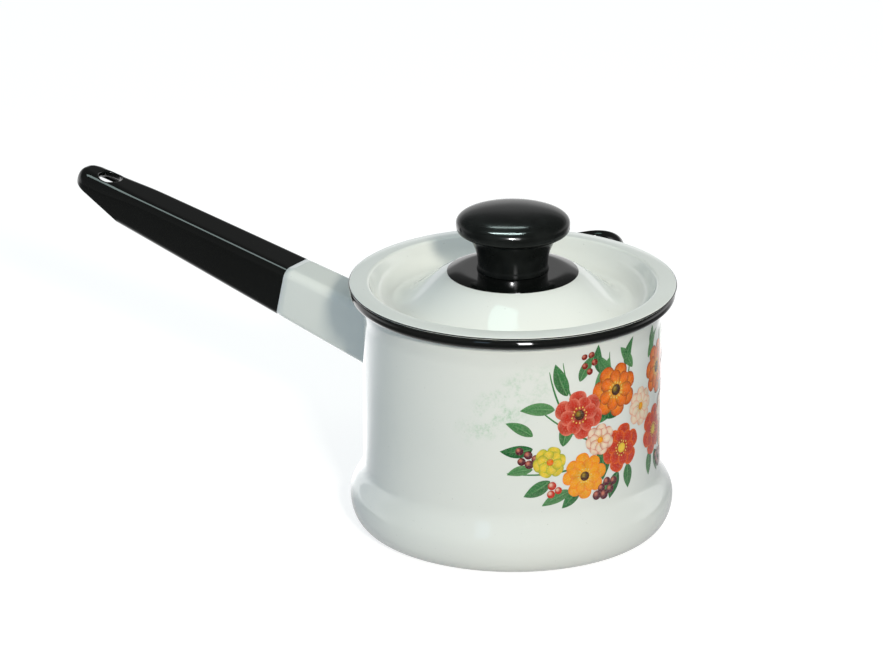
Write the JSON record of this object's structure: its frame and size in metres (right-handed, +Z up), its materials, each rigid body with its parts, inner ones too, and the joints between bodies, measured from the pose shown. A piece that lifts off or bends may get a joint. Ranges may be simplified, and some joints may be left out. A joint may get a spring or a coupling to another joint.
{
  "type": "saucepan",
  "caption": "Enamelled saucepan with a belled foot, rolled pouring rim, hollow stamped handle with a hanging hole, and a recessed lift-off lid with a round knob.",
  "frame": {"origin": "on the pot's axis, in the plane of the foot that it stands on", "axes": "+Z up along the pot's axis, the handle along -X, the pouring lip along +Y"},
  "size_m": [0.3173, 0.1616, 0.1504],
  "materials": {
    "white_enamel": "gloss vitreous enamel on drawn steel",
    "black_enamel": "gloss vitreous enamel on steel",
    "black_plastic": "gloss",
    "brass": "turned",
    "steel": "plain"
  },
  "bodies": {
    "pot": {"pot_shell": "white_enamel", "rolled_rim": "black_enamel", "handle_neck": "white_enamel", "handle_grip": "black_enamel", "handle_weld": "white_enamel"},
    "lid": {"lid_shell": "white_enamel", "lid_edge": "black_enamel", "lid_centre": "black_enamel", "knob": "black_plastic", "knob_insert": "brass", "knob_screw": "steel", "flat_washer": "steel"}
  },
  "joints": [
    {"name": "lid_lift", "type": "slide", "parent": "pot", "child": "lid", "axis": [0, 0, 1], "range_m": [0, 0.12]}
  ]
}
